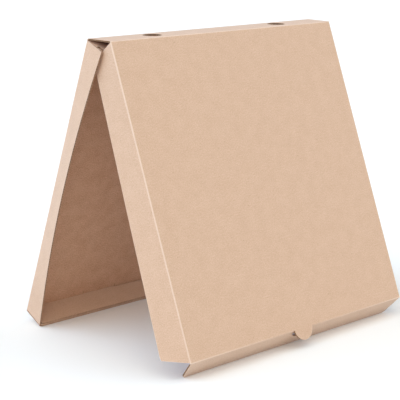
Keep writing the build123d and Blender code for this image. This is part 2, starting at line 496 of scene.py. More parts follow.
@dataclass(frozen=True)
class KraftLiner:
    """Unbleached kraft paper, machine made, uncoated.

    The long fibres give a warm tan sheet with cloudy patches and a fine grain that runs
    along the machine direction.  It is matt, and its loose fibre ends brighten it a little
    at a glancing angle.  The fluting below shows through as very faint ribs.
    """

    name: str
    base: str
    dark: str
    # Lighter tone along creases and cut edges: rubbing of the paper, and a painted highlight
    # where a rounded crease catches the light.
    worn_and_highlight: str = "#efd9c8"
    fleck_tone: str = "#a07a5c"
    # Sizes on the sheet.  A wood fibre is about 3 mm long but only 0.03 mm wide, too fine to
    # show, so grain and fibres are drawn as coarse as they need to be to be seen.
    cloud: float = 14 * MM
    grain: float = 1.5 * MM
    fibre: float = 0.75 * MM
    fleck: float = 7 * MM
    flute: float = FLUTE_PITCH
    # Y is scaled by this, which draws the fibres longer along the machine direction.
    fibre_squeeze: float = 0.6
    noise_roughness: float = 0.6
    # The grain's share beside the clouds, and the fibres' share beside both.  The part of
    # the sum between low and high is spread from the dark to the base colour.
    grain_share: float = 0.68
    fibre_share: float = 0.45
    tone_low: float = 0.38
    tone_high: float = 0.62
    # A fleck fades from its core to its edge, both in parts of the fleck spacing, and lies
    # only where a cell's own random value is above the last number.
    fleck_core: float = 0.05
    fleck_edge: float = 0.12
    fleck_strength: float = 0.45
    fleck_above: float = 0.72
    # Share of that lighter tone where the attribute marks rubbing and painted highlight.
    wear_and_highlight_share: float = 0.6
    rib_depth: float = 0.02 * MM
    rib_strength: float = 0.5
    grain_depth: float = 0.06 * MM
    grain_strength: float = 0.6
    roughness: float = 0.86
    sheen: float = 0.25
    sheen_roughness: float = 0.5

    def material(self) -> bpy.types.Material:
        """Builds the node material.

        Returns:
            The finished material.
        """
        made, tree = new_material(self.name)
        blank = add_node(tree, "ShaderNodeUVMap", {"uv_map": UV_NAME}).outputs["UV"]
        along = add_node(
            tree,
            "ShaderNodeMapping",
            inputs={"Vector": blank, "Scale": (1, self.fibre_squeeze, 1)},
        ).outputs["Vector"]
        clouds, grain, fibres = (
            add_node(
                tree,
                "ShaderNodeTexNoise",
                inputs={
                    "Vector": vector,
                    "Scale": 1 / size,
                    "Detail": detail,
                    "Roughness": self.noise_roughness,
                },
            ).outputs["Fac"]
            for vector, size, detail in (
                (blank, self.cloud, 3),
                (blank, self.grain, 2),
                (along, self.fibre, 2),
            )
        )
        tone = self.paper_tone(tree, clouds, grain, fibres)
        colour = add_node(
            tree,
            "ShaderNodeMix",
            {"data_type": "RGBA"},
            {0: tone, 6: linear(self.dark), 7: linear(self.base)},
        ).outputs[2]
        colour = self.flecked(tree, blank, colour)
        colour = self.rubbed_and_highlit(tree, colour)
        shader = add_node(
            tree,
            "ShaderNodeBsdfPrincipled",
            inputs={
                "Base Color": colour,
                "Roughness": self.roughness,
                "Sheen Weight": self.sheen,
                "Sheen Roughness": self.sheen_roughness,
                "Normal": self.relief(tree, blank, grain),
            },
        ).outputs["BSDF"]
        add_node(tree, "ShaderNodeOutputMaterial", inputs={"Surface": shader})
        return made

    def paper_tone(
        self,
        tree: bpy.types.NodeTree,
        clouds: bpy.types.NodeSocket,
        grain: bpy.types.NodeSocket,
        fibres: bpy.types.NodeSocket,
    ) -> bpy.types.NodeSocket:
        """Adds the three paper patterns up into one tone.

        Args:
            tree: the material's node tree.
            clouds: the cloudy patches.
            grain: the fine grain.
            fibres: the streaks along the machine direction.

        Returns:
            The tone, from 0 for dark to 1 for base.
        """
        patches = add_node(
            tree,
            "ShaderNodeMix",
            {"data_type": "FLOAT"},
            {0: self.grain_share, 2: clouds, 3: grain},
        ).outputs[0]
        streaks = add_node(
            tree,
            "ShaderNodeMix",
            {"data_type": "FLOAT"},
            {0: self.fibre_share, 2: patches, 3: fibres},
        ).outputs[0]
        return add_node(
            tree,
            "ShaderNodeMapRange",
            inputs={0: streaks, 1: self.tone_low, 2: self.tone_high, 3: 0.0, 4: 1.0},
        ).outputs[0]

    def flecked(
        self,
        tree: bpy.types.NodeTree,
        vector: bpy.types.NodeSocket,
        colour: bpy.types.NodeSocket,
    ) -> bpy.types.NodeSocket:
        """Scatters a few small dark fibre flecks over the sheet.

        Args:
            tree: the material's node tree.
            vector: the place on the sheet.
            colour: the paper's colour.

        Returns:
            The colour with its flecks.
        """
        cells = add_node(
            tree, "ShaderNodeTexVoronoi", inputs={"Vector": vector, "Scale": 1 / self.fleck}
        )
        spot = add_node(
            tree,
            "ShaderNodeMapRange",
            inputs={
                0: cells.outputs["Distance"],
                1: self.fleck_core,
                2: self.fleck_edge,
                3: self.fleck_strength,
                4: 0.0,
            },
        ).outputs[0]
        chosen = add_node(
            tree,
            "ShaderNodeMath",
            {"operation": "GREATER_THAN"},
            {0: cells.outputs["Color"], 1: self.fleck_above},
        ).outputs[0]
        amount = add_node(
            tree, "ShaderNodeMath", {"operation": "MULTIPLY"}, {0: spot, 1: chosen}
        ).outputs[0]
        return add_node(
            tree,
            "ShaderNodeMix",
            {"data_type": "RGBA"},
            {0: amount, 6: colour, 7: linear(self.fleck_tone)},
        ).outputs[2]

    def rubbed_and_highlit(
        self, tree: bpy.types.NodeTree, colour: bpy.types.NodeSocket
    ) -> bpy.types.NodeSocket:
        """Lightens the paper along creases and cut edges: partly rubbing of the paper, partly a
        painted highlight.

        Args:
            tree: the material's node tree.
            colour: the paper's colour.

        Returns:
            The colour with its lighter lines, from rubbing and painted highlight.
        """
        wear_and_highlight = add_node(
            tree, "ShaderNodeAttribute", {"attribute_name": WEAR_AND_HIGHLIGHT_NAME}
        ).outputs["Fac"]
        amount = add_node(
            tree, "ShaderNodeMath", {"operation": "MULTIPLY"}, {0: wear_and_highlight, 1: self.wear_and_highlight_share}
        ).outputs[0]
        return add_node(
            tree,
            "ShaderNodeMix",
            {"data_type": "RGBA"},
            {0: amount, 6: colour, 7: linear(self.worn_and_highlight)},
        ).outputs[2]

    def relief(
        self,
        tree: bpy.types.NodeTree,
        vector: bpy.types.NodeSocket,
        grain: bpy.types.NodeSocket,
    ) -> bpy.types.NodeSocket:
        """Raises the faint ribs of the fluting and the paper's grain.

        Args:
            tree: the material's node tree.
            vector: the place on the sheet.
            grain: the fine grain.

        Returns:
            The surface normal.
        """
        ribs = add_node(
            tree,
            "ShaderNodeTexWave",
            {"wave_type": "BANDS", "bands_direction": "Y"},
            {"Vector": vector, "Scale": WAVE_BAND / self.flute},
        ).outputs["Fac"]
        ribbed = add_node(
            tree,
            "ShaderNodeBump",
            inputs={"Strength": self.rib_strength, "Distance": self.rib_depth, "Height": ribs},
        ).outputs["Normal"]
        return add_node(
            tree,
            "ShaderNodeBump",
            inputs={
                "Strength": self.grain_strength,
                "Distance": self.grain_depth,
                "Height": grain,
                "Normal": ribbed,
            },
        ).outputs["Normal"]


@dataclass(frozen=True)
class StudioFloor:
    """Matt white paper sweep, printed nowhere: it gives a clean ground and soft shadows."""

    name: str = "white_paper_sweep"
    tone: str = "#f8fafb"
    roughness: float = 0.9

    def material(self) -> bpy.types.Material:
        """Builds the node material.

        Returns:
            The finished material.
        """
        made, tree = new_material(self.name)
        shader = add_node(
            tree,
            "ShaderNodeBsdfPrincipled",
            inputs={"Base Color": linear(self.tone), "Roughness": self.roughness},
        ).outputs["BSDF"]
        add_node(tree, "ShaderNodeOutputMaterial", inputs={"Surface": shader})
        return made


class Paper(Enum):
    """The three papers that the board is glued up from, in slot order."""

    OUTER = 0
    INNER = 1
    FLUTING = 2


FINISHES = {
    # The better sheet, on the outside: even and light tan.
    Paper.OUTER: KraftLiner("kraft_liner_outside", base="#d8b79e", dark="#c4a083"),
    # The plainer sheet, on the inside: warmer and redder, with darker patches and more contrast
    # between them; this warmer, darker tone is painted shade of the hollow inside the box.
    Paper.INNER: KraftLiner("kraft_liner_inside_with_painted_shade", base="#dfb394", dark="#b98965"),
    # The waved medium, which shows at cut edges: darker and duller than the liners.
    Paper.FLUTING: KraftLiner(
        "fluting_paper",
        base="#ae8767",
        dark="#92704f",
        worn_and_highlight="#c9a98c",
        sheen=0.0,
        roughness=0.92,
    ),
}


# --------------------------------------------------------------------------------------
# Board and folding
# --------------------------------------------------------------------------------------


@dataclass(frozen=True)
class Lay:
    """Where a flat sheet is laid in the box: its X, Y and Z axes and its origin."""

    origin: Vector
    across: Vector
    down: Vector
    out: Vector

    def seat(self, obj: bpy.types.Object) -> None:
        """Moves a finished flat piece to its place and turns its faces outwards.

        Args:
            obj: the flat piece, whose axes become the lay's own.
        """
        turn = Matrix((self.across, self.down, self.out)).transposed().to_4x4()
        obj.data.transform(Matrix.Translation(self.origin) @ turn)
        face_outwards(obj)


@dataclass(frozen=True)
class Board:
    """Fine-flute corrugated board: two liners glued to a waved medium.

    In a flat sheet the flutes run along X, the liners' machine direction along Y, and +Z is
    the outside of the box.
    """

    papers: dict[Paper, bpy.types.Material]
    thick: float = 1.5 * MM
    liner: float = 0.25 * MM
    medium: float = 0.2 * MM
    glue_gap: float = 0.01 * MM
    pitch: float = FLUTE_PITCH
    steps: int = 8

    @property
    def half(self) -> float:
        """Half the board's thickness."""
        return self.thick / 2

    @property
    def face_level(self) -> float:
        """Height above which a flat sheet's vertices belong to its outer face."""
        return self.half - self.liner / 2

    @property
    def die_reach(self) -> float:
        """Half the height of a die, well past both faces of a flat sheet."""
        return 5 * self.thick

    def clad(self, obj: bpy.types.Object, paper: Paper) -> None:
        """Gives a mesh one slot for each paper and sets all its faces to one of them.

        Args:
            obj: the mesh.
            paper: the paper of its faces.
        """
        for each in Paper:
            obj.data.materials.append(self.papers[each])
        for face in obj.data.polygons:
            face.material_index = paper.value

    def die_cut(
        self, obj: bpy.types.Object, die: bpy.types.Object, keep_inside: bool = False
    ) -> None:
        """Cuts a sheet with a die; the cut faces show the fluting paper.

        Args:
            obj: the sheet to cut.
            die: closed mesh that does the cutting.
            keep_inside: True keeps what lies inside the die, False what lies outside.
        """
        self.clad(die, Paper.FLUTING)
        punch(obj, die, keep_inside)

    def liner_sheet(
        self, low: Vector, high: Vector, paper: Paper, rows: int
    ) -> bpy.types.Object:
        """Makes one liner as a closed thin sheet.

        Args:
            low: lowest corner of the panel in the flat.
            high: highest corner.
            paper: OUTER or INNER.
            rows: cells along Y, so that the sheet can bend.

        Returns:
            The liner.
        """
        side = 1 if paper is Paper.OUTER else -1
        face = self.half * side
        obj = add_grid("liner", Vector((low.x, low.y, face)), high, rows)
        thicken(obj, self.liner, -side)
        self.clad(obj, paper)
        return obj

    def fluting(self, low: Vector, high: Vector) -> bpy.types.Object:
        """Makes the waved medium: one flute, shaped row by row, then repeated and trimmed.

        Args:
            low: lowest corner of the panel in the flat.
            high: highest corner.

        Returns:
            The medium as a closed waved sheet.
        """
        swing = self.half - self.liner - self.glue_gap - self.medium / 2
        first = Vector((low.x, low.y - self.pitch / 2, 0))
        obj = add_grid("flute", first, Vector((high.x, first.y + self.pitch, 0)), self.steps)
        step = self.pitch / self.steps
        with editing(obj):
            for row in range(self.steps + 1):
                level = first.y + row * step
                pick_verts(obj, lambda co, level=level: abs(co.y - level) < step / 4)
                rise = swing * math.sin(2 * math.pi * row / self.steps)
                bpy.ops.transform.translate(value=(0, 0, rise))
        repeat = obj.modifiers.new("repeat", "ARRAY")
        repeat.use_relative_offset = False
        repeat.use_constant_offset = True
        repeat.constant_offset_displace = (0, self.pitch, 0)
        repeat.count = math.ceil((high.y - low.y) / self.pitch) + 1
        repeat.use_merge_vertices = True
        repeat.merge_threshold = self.glue_gap
        apply_modifier(obj, repeat.name)
        thicken(obj, self.medium, 0)
        slice_off(obj, low, Vector((0, -1, 0)))
        slice_off(obj, high, Vector((0, 1, 0)))
        self.clad(obj, Paper.FLUTING)
        return obj

    def sheet(self, name: str, low: Vector, high: Vector, rows: int = 1) -> bpy.types.Object:
        """Glues up one flat panel.

        Args:
            name: the panel's name.
            low: lowest corner in the flat; Z isn't used.
            high: highest corner.
            rows: cells along Y in the liners.

        Returns:
            The panel, its faces painted by paper.
        """
        outer = self.liner_sheet(low, high, Paper.OUTER, rows)
        inner = self.liner_sheet(low, high, Paper.INNER, rows)
        return join(name, [outer, inner, self.fluting(low, high)])

    def slab(self, name: str, low: Vector, high: Vector) -> bpy.types.Object:
        """Makes a panel that has a crease on every side, so that its edges are rounded.

        Args:
            name: the panel's name.
            low: crossing of two crease axes, in the flat.
            high: the opposite crossing.

        Returns:
            The panel, with a line of vertices just inside each crease.
        """
        reach = Vector((self.half, self.half, self.half))
        obj = add_block(name, low.to_2d().to_3d() - reach, high.to_2d().to_3d() + reach)
        rim = self.half - self.glue_gap
        with editing(obj, "EDGE"):
            pick_edges(obj, lambda a, b: abs(a.z - b.z) < rim)
            bpy.ops.mesh.bevel(
                offset=rim, segments=CREASE_SEGMENTS, profile=0.5, clamp_overlap=True
            )
        with editing(obj, "FACE"):
            pick_faces(obj, lambda centre, normal: abs(normal.z) > SQUARE_ON)
            bpy.ops.mesh.inset(thickness=WEAR_AND_HIGHLIGHT_WIDTH, use_individual=True)
        self.clad(obj, Paper.OUTER)
        # The inner faces take the inside paper, whose warmer, darker tone is painted shade.
        for face in obj.data.polygons:
            if face.center.z < -rim / 3:
                face.material_index = Paper.INNER.value
        return obj


@dataclass(frozen=True)
class Spring:
    """How far a long strip springs away from square, in degrees, along its length."""

    start: float
    end: float
    bow: float = 0.0
    stations: int = 25

    def lean(self, part_way: float) -> float:
        """Works out the lean at a place along the strip.

        Args:
            part_way: 0 at the strip's start, 1 at its end.

        Returns:
            The lean in radians.
        """
        straight = self.start + (self.end - self.start) * part_way
        return math.radians(straight + self.bow * 4 * part_way * (1 - part_way))

    def bend(self, obj: bpy.types.Object, first: float, last: float, tall: float) -> None:
        """Leans a flat strip outwards about its root with a lattice.

        Args:
            obj: the flat strip, root along Y at X = 0, outside towards +Z.
            first: Y where the lean is start.
            last: Y where the lean is end.
            tall: height of the strip along X.
        """
        bpy.ops.object.select_all(action="DESELECT")
        bpy.ops.object.add(type="LATTICE", location=(0, (first + last) / 2, 0))
        cage = bpy.context.active_object
        cage.scale = (2 * tall, last - first, 2 * tall)
        grid = cage.data
        grid.points_u, grid.points_v, grid.points_w = 2, self.stations, 2
        for axis in "uvw":
            setattr(grid, f"interpolation_type_{axis}", "KEY_LINEAR")
        for point in grid.points:
            turn = Matrix.Rotation(-self.lean(point.co.y + 0.5), 3, "Y")
            point.co_deform = turn @ point.co
        bpy.context.view_layer.update()
        former = obj.modifiers.new("former", "LATTICE")
        former.object = cage
        apply_modifier(obj, former.name)
        bpy.data.objects.remove(cage, do_unlink=True)


@dataclass(frozen=True)
class Creases:
    """The fold lines and panel directions of the box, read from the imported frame."""

    tray_hinge: Vector
    lid_hinge: Vector
    tuck_hinge: Vector
    tray_out: Vector
    tuck_fold: float

    @classmethod
    def from_frame(cls) -> "Creases":
        """Reads the hinge lines from the record's joints and mounts.

        Returns:
            The fold lines.
        """
        joints = {joint["name"]: joint for joint in frame["joints"]}
        mounts = {mount["name"]: mount for mount in frame["record"]["mounts"]}
        return cls(
            tray_hinge=Vector(joints["spine_fold"]["pos_m"]),
            lid_hinge=Vector(joints["lid_fold"]["pos_m"]),
            tuck_hinge=Vector(joints["front_flap_fold"]["pos_m"]),
            tray_out=Vector(mounts["tray_outer_face"]["axis"]).normalized(),
            tuck_fold=math.radians(joints["front_flap_fold"]["range_deg"][1]),
        )

    @property
    def sideways(self) -> Vector:
        """Unit vector along every crease between the main panels."""
        return Vector((1, 0, 0))

    @property
    def spine_down(self) -> Vector:
        """Direction of the spine, from the tray to the lid."""
        return (self.lid_hinge - self.tray_hinge).normalized()

    @property
    def lid_down(self) -> Vector:
        """Direction of the lid, from the spine to the tuck flap."""
        return (self.tuck_hinge - self.lid_hinge).normalized()

    @property
    def lid_out(self) -> Vector:
        """Normal of the lid's outer face."""
        return self.lid_down.cross(self.sideways)

    @property
    def tray_down(self) -> Vector:
        """Direction of the tray's floor, from the spine to the front wall."""
        return self.tray_out.cross(self.sideways)

    def main_lay(self, origin: Vector, down: Vector) -> Lay:
        """Lay of a panel on the lid's or spine's side, outside up."""
        return Lay(origin, -self.sideways, down, (-self.sideways).cross(down))


def blank_at(x: float, y: float) -> Vector:
    """Field for where a panel lies in the flat blank, in metres."""
    return field(default_factory=lambda: Vector((x, y, 0)))


def finish_piece(obj: bpy.types.Object, body: str, node: Optional[str] = None) -> None:
    """Shades a piece and sets it on its body.

    Args:
        obj: the finished piece.
        body: the body that it moves with.
        node: the CAD node that it stands for, if there is one.
    """
    smooth(obj)
    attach(obj, body)
    if node:
        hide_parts(node)
    log.info("%s: %d faces on body %s", obj.name, len(obj.data.polygons), body)


# --------------------------------------------------------------------------------------
# The box's own panels
# --------------------------------------------------------------------------------------


@dataclass
class Lid:
    """The top panel with its four rounded creases and the half-round thumb tab."""

    creases: Creases
    board: Board
    width: float = 324.1 * MM
    tab_width: float = 27.0 * MM
    tab_reach: float = 12.8 * MM
    blank_shift: Vector = blank_at(0, 0)

    def build(self) -> bpy.types.Object:
        """Builds the lid panel.

        Returns:
            The finished piece.
        """
        long = (self.creases.tuck_hinge - self.creases.lid_hinge).length
        half_width = self.width / 2
        panel = self.board.slab(
            "lid_panel", Vector((-half_width, 0, 0)), Vector((half_width, long, 0))
        )
        for side in (-1, 1):
            score(panel, Vector((side * self.tab_width / 2, 0, 0)), Vector((1, 0, 0)))
        # The creases are lightened: partly rubbing, partly painted highlight.
        mark_wear_and_highlight(panel, lambda co: self.rubbed_and_highlit(co, long))
        lid = join("lid_board", [panel, self.tab(long)])
        lay_out_uv(lid, self.blank_shift)
        self.creases.main_lay(self.creases.lid_hinge, self.creases.lid_down).seat(lid)
        finish_piece(lid, "lid", "lid")
        return lid

    def rubbed_and_highlit(self, co: Vector, long: float) -> float:
        """Wear and painted highlight of the lid's creases: none where the tab runs straight on
        from the panel.

        Args:
            co: a place on the flat panel.
            long: the lid's length between its two creases.

        Returns:
            1 on a crease, 0 elsewhere.
        """
        near = WEAR_AND_HIGHLIGHT_WIDTH / 2
        at_side = abs(co.x) > self.width / 2 - near
        at_end = co.y < near or co.y > long - near
        at_tab = abs(co.x) < self.tab_width / 2 + WEAR_AND_HIGHLIGHT_WIDTH and co.y > long / 2
        return 1.0 if at_side or (at_end and not at_tab) else 0.0

    def tab(self, long: float) -> bpy.types.Object:
        """Cuts the thumb tab out of a small sheet that runs on from the lid.

        Args:
            long: the lid's length between its two creases.

        Returns:
            The tab, flat and in line with the lid.
        """
        radius = self.tab_width / 2
        centre = Vector((0, long + self.tab_reach - radius, 0))
        low = Vector((-self.tab_width, long, 0))
        high = Vector((self.tab_width, long + self.tab_width, 0))
        tab = self.board.sheet("thumb_tab", low, high)
        self.board.die_cut(
            tab, add_round_punch(centre, radius, self.board.die_reach), keep_inside=True
        )
        crease = long + self.board.half
        # The tab's outline is lightened, except at its root: rubbing and painted highlight.
        band_edges(tab, self.board.face_level, lambda co: 0.0 if co.y < crease else 1.0)
        return tab


@dataclass
class Spine:
    """The back wall between tray and lid, with two round steam vents."""

    creases: Creases
    board: Board
    tray_side: float = 328.8 * MM
    lid_side: float = 325.6 * MM
    vent_diameter: float = 20 * MM
    vent_spread: float = 92.5 * MM
    vent_place: float = 16 * MM
    rows: int = 8
    # How far the spine's cut edges and vent rims are lightened: partly rubbing, partly a
    # painted highlight where the edge catches the light.
    edge_wear_and_highlight: float = 0.5
    blank_shift: Vector = blank_at(0, -0.05)

    def build(self) -> bpy.types.Object:
        """Builds the spine panel.

        Returns:
            The finished piece.
        """
        deep = (self.creases.lid_hinge - self.creases.tray_hinge).length
        half_wide = self.tray_side / 2
        spine = self.board.sheet(
            "spine_board", Vector((-half_wide, 0, 0)), Vector((half_wide, deep, 0)), self.rows
        )
        half_lid = self.lid_side / 2
        past = self.board.thick
        slant = (half_wide - half_lid) / deep * past
        die = add_die(
            ((-half_wide - slant, -past), (half_wide + slant, -past),
             (half_lid - slant, deep + past), (-half_lid + slant, deep + past)),
            self.board.die_reach,
        )
        self.board.die_cut(spine, die, keep_inside=True)
        for side in (-1, 1):
            centre = Vector((side * self.vent_spread, self.vent_place, 0))
            vent = add_round_punch(centre, self.vent_diameter / 2, self.board.die_reach)
            self.board.die_cut(spine, vent)
        band_edges(spine, self.board.face_level, lambda co: self.edge_wear_and_highlight)
        lay_out_uv(spine, self.blank_shift)
        self.creases.main_lay(self.creases.tray_hinge, self.creases.spine_down).seat(spine)
        finish_piece(spine, "spine", "spine")
        return spine


@dataclass
class TuckFlap:
    """The flap along the lid's front, with the half-round hole that the tab leaves."""

    creases: Creases
    board: Board
    width: float = 324.1 * MM
    deep: float = 28 * MM
    taper: float = 5.3 * MM
    corner: float = 4 * MM
    hole_radius: float = 14.3 * MM
    hole_centre: float = -0.7 * MM
    blank_shift: Vector = blank_at(0, 0.34)

    def build(self) -> bpy.types.Object:
        """Builds the tuck flap.

        Returns:
            The finished piece.
        """
        half_width = self.width / 2
        flap = self.board.sheet(
            "tuck_flap_board", Vector((-half_width, 0, 0)), Vector((half_width, self.deep, 0))
        )
        tips = half_width - self.taper
        die = add_die(
            ((-half_width - self.taper, -self.deep), (half_width + self.taper, -self.deep),
             (tips, self.deep), (-tips, self.deep)),
            self.board.die_reach,
            self.corner,
            lambda place: place.y > 0,
        )
        self.board.die_cut(flap, die, keep_inside=True)
        centre = Vector((0, self.hole_centre, 0))
        hole = add_round_punch(centre, self.hole_radius, self.board.die_reach)
        self.board.die_cut(flap, hole)
        band_edges(flap, self.board.face_level, lambda co: 1.0)
        lay_out_uv(flap, self.blank_shift)
        turn = Matrix.Rotation(self.creases.tuck_fold, 3, "X")
        down = turn @ self.creases.lid_down
        self.creases.main_lay(self.creases.tuck_hinge, down).seat(flap)
        finish_piece(flap, "lid_front_flap", "lid_front_flap")
        return flap


@dataclass
class SideFlaps:
    """The lid's two side flaps, twisted strips that spring outwards at the front."""

    creases: Creases
    board: Board
    axis_spread: float = 162.05 * MM
    tall: float = 31.3 * MM
    inset: float = 1.0 * MM
    front_inset: float = 0.8 * MM
    corner: float = 2.5 * MM
    rear_mitre: float = 12.0 * MM
    front_mitre: float = 8.7 * MM
    spring: Spring = Spring(start=1.0, end=24.0)
    blank_shift: Vector = blank_at(0.17, 0)

    def build(self) -> list[bpy.types.Object]:
        """Builds the left flap and mirrors it.

        Returns:
            The left and right flaps.
        """
        long = (self.creases.tuck_hinge - self.creases.lid_hinge).length
        flap = self.board.sheet(
            "lid_left_flap_board",
            Vector((0, self.inset, 0)),
            Vector((self.tall, long - self.front_inset, 0)),
            BEND_ROWS,
        )
        die = add_die(
            ((-self.tall, self.inset - self.rear_mitre), (self.tall, self.rear_mitre),
             (self.tall, long - self.front_mitre),
             (-self.tall, long - self.front_inset + self.front_mitre)),
            self.board.die_reach,
            self.corner,
            lambda place: place.x > 0,
        )
        self.board.die_cut(flap, die, keep_inside=True)
        band_edges(flap, self.board.face_level, lambda co: 1.0)
        lay_out_uv(flap, self.blank_shift)
        self.spring.bend(flap, 0, long, self.tall)
        origin = self.creases.lid_hinge - self.creases.sideways * self.axis_spread
        down = self.creases.lid_down
        Lay(origin, down.cross(-self.creases.sideways), down, -self.creases.sideways).seat(flap)
        other = mirrored(flap, "lid_right_flap_board")
        finish_piece(flap, "lid_left_flap", "lid_left_flap")
        finish_piece(other, "lid_right_flap", "lid_right_flap")
        return [flap, other]


@dataclass
class Tray:
    """The tray: floor, two bowed side walls, four corner flaps and a rolled front wall."""

    creases: Creases
    board: Board
    width: float = 330.0 * MM
    floor_length: float = 335.5 * MM
    side_height: float = 27.25 * MM
    wall_start: float = 1.1 * MM
    spring: Spring = Spring(start=5.0, end=2.0, bow=17.0)
    front_height: float = 29.4 * MM
    front_lean: float = 6.5
    layer_gap: float = 0.15 * MM
    end_gap: float = 0.55 * MM
    bend: float = 1.0 * MM
    lock_width: float = 46.0 * MM
    lock_spread: float = 63.5 * MM
    lock_gap: float = 0.3 * MM
    foot_clearance: float = 0.6 * MM
    nick_width: float = 0.8 * MM
    nick_height: float = 4.2 * MM
    corner_reach: float = 58.0 * MM
    corner_foot: float = 1.3 * MM
    corner_height: float = 24.0 * MM
    slit_foot: float = 15.0 * MM
    slit_start: float = 0.1 * MM
    slit_width: float = 3.2 * MM
    corner_taper: float = 8.0 * MM
    rim_steps: int = 8
    # How far the rolled rim's top is lightened: partly rubbing, partly a painted highlight
    # where light falls on the bend.
    rim_wear_and_highlight: float = 0.4
    floor_shift: Vector = blank_at(0, -0.4)
    outer_shift: Vector = blank_at(0, -0.06)
    inner_shift: Vector = blank_at(0, -0.12)
    rim_shift: Vector = blank_at(0, -0.09)
    wall_shift: Vector = blank_at(0.2, -0.4)
    corner_shift: Vector = blank_at(0.25, 0.02)

    @property
    def wall_axis(self) -> float:
        """Distance of a side wall's crease from the middle."""
        return self.width / 2 - self.board.half

    @property
    def layer_step(self) -> float:
        """Distance between the front wall's two layers, with the corner flap between."""
        return 2 * (self.board.thick + self.layer_gap)

    @property
    def front_up(self) -> Vector:
        """Direction up the front wall, in the flat floor's axes."""
        lean = math.radians(self.front_lean)
        return Vector((0, math.sin(lean), -math.cos(lean)))

    @property
    def front_out(self) -> Vector:
        """Outward normal of the front wall, in the flat floor's axes."""
        lean = math.radians(self.front_lean)
        return Vector((0, math.cos(lean), math.sin(lean)))

    @property
    def floor_corner(self) -> Vector:
        """Crease between the floor and the front wall."""
        return Vector((0, self.floor_length, 0))

    @property
    def inner_rim(self) -> Vector:
        """Top of the front wall's inner layer, in the flat floor's axes."""
        rise = self.front_up * self.front_height
        return self.floor_corner + rise - self.front_out * self.layer_step

    @property
    def rim_round(self) -> float:
        """Radius of the outside of the rolled rim."""
        return self.bend + self.board.half

    @property
    def lay(self) -> Lay:
        """Lay of the floor, outside down the tray's back."""
        down = self.creases.tray_down
        return Lay(self.creases.tray_hinge, self.creases.sideways, down, self.creases.tray_out)

    def build(self) -> list[bpy.types.Object]:
        """Builds the tray's panels.

        Returns:
            The finished pieces.
        """
        floor = self.floor()
        front = self.front_wall()
        right, left = self.side_walls()
        corners = self.corner_flaps()
        finish_piece(floor, "tray", "tray")
        for piece in [front, right, left, *corners]:
            finish_piece(piece, "tray")
        return [floor, front, right, left, *corners]

    def floor(self) -> bpy.types.Object:
        """Builds the floor with its rounded creases and the two lock slots.

        Returns:
            The floor, in its place.
        """
        axis = self.wall_axis
        floor = self.board.slab(
            "tray_floor_board", Vector((-axis, 0, 0)), Vector((axis, self.floor_length, 0))
        )
        mark_wear_and_highlight(floor, self.floor_wear_and_highlight)
        foot = self.inner_foot()
        half_slot = self.board.half + self.lock_gap
        for side in (-1, 1):
            middle = Vector((side * self.lock_spread, foot.y, 0))
            reach = Vector((self.lock_width / 2 + self.lock_gap, half_slot, self.board.thick))
            self.board.die_cut(floor, add_block("slot", middle - reach, middle + reach))
            for end in (-1, 1):
                left = end * reach.x - self.nick_width / 2
                low = middle + Vector((left, -self.nick_height, -reach.z))
                high = low + Vector((self.nick_width, self.nick_height, 2 * reach.z))
                self.board.die_cut(floor, add_block("nick", low, high))
        lay_out_uv(floor, self.floor_shift)
        self.lay.seat(floor)
        return floor

    def floor_wear_and_highlight(self, co: Vector) -> float:
        """Wear and painted highlight of the floor: full on its four creases, none between them.

        Args:
            co: a place on the flat floor.

        Returns:
            1 on a crease, 0 elsewhere.
        """
        near = WEAR_AND_HIGHLIGHT_WIDTH / 2
        at_side = abs(co.x) > self.wall_axis - near
        at_end = not near < co.y < self.floor_length - near
        return 1.0 if at_side or at_end else 0.0

    def inner_foot(self) -> Vector:
        """Finds where the inner layer of the front wall meets the floor.

        Returns:
            The middle of the layer's foot, in the flat floor's axes.
        """
        rim = self.inner_rim
        run = (-rim.z - self.board.half - self.layer_gap) / -self.front_up.z
        return rim - self.front_up * run

    def stand_up(self, obj: bpy.types.Object, foot: Vector) -> None:
        """Turns a flat sheet, Y up the wall, to stand in the front wall at its foot."""
        Lay(foot, Vector((1, 0, 0)), self.front_up, self.front_out).seat(obj)

    def front_wall(self) -> bpy.types.Object:
        """Builds the rolled front wall: outer layer, rim, inner layer and locking tabs.

        Returns:
            The wall, in its place.
        """
        half_wide = self.width / 2
        outer = self.board.sheet(
            "outer_layer",
            Vector((-half_wide, 0, 0)),
            Vector((half_wide, self.front_height - self.rim_round, 0)),
        )
        lay_out_uv(outer, self.outer_shift)
        band_edges(outer, self.board.face_level, lambda co: 1.0)
        self.stand_up(outer, self.floor_corner)
        inner_half = self.wall_axis - self.board.half - self.layer_gap
        foot = self.inner_foot()
        run = (self.inner_rim - foot).length
        inner = self.board.sheet(
            "inner_layer",
            Vector((-inner_half, 0, 0)),
            Vector((inner_half, run - self.rim_round, 0)),
        )
        self.trim_foot(inner)
        inner = join("inner_layer", [inner, *self.lock_tabs()])
        lay_out_uv(inner, self.inner_shift)
        mark_wear_and_highlight(inner, lambda co: 0.0)
        self.turn_inside_out(inner)
        self.stand_up(inner, foot)
        wall = join("tray_front_wall_board", [outer, inner, self.rolled_rim(inner_half)])
        self.lay.seat(wall)
        return wall

    def lock_tabs(self) -> list[bpy.types.Object]:
        """Makes the two locking tabs, flat below the inner layer's foot.

        Returns:
            The left and right tabs.
        """
        tabs = []
        reach = self.board.thick + self.layer_gap
        for side in (-1, 1):
            middle = side * self.lock_spread
            low = Vector((middle - self.lock_width / 2, -reach, 0))
            high = Vector((middle + self.lock_width / 2, 0, 0))
            tabs.append(self.board.sheet("tab", low, high))
        return tabs

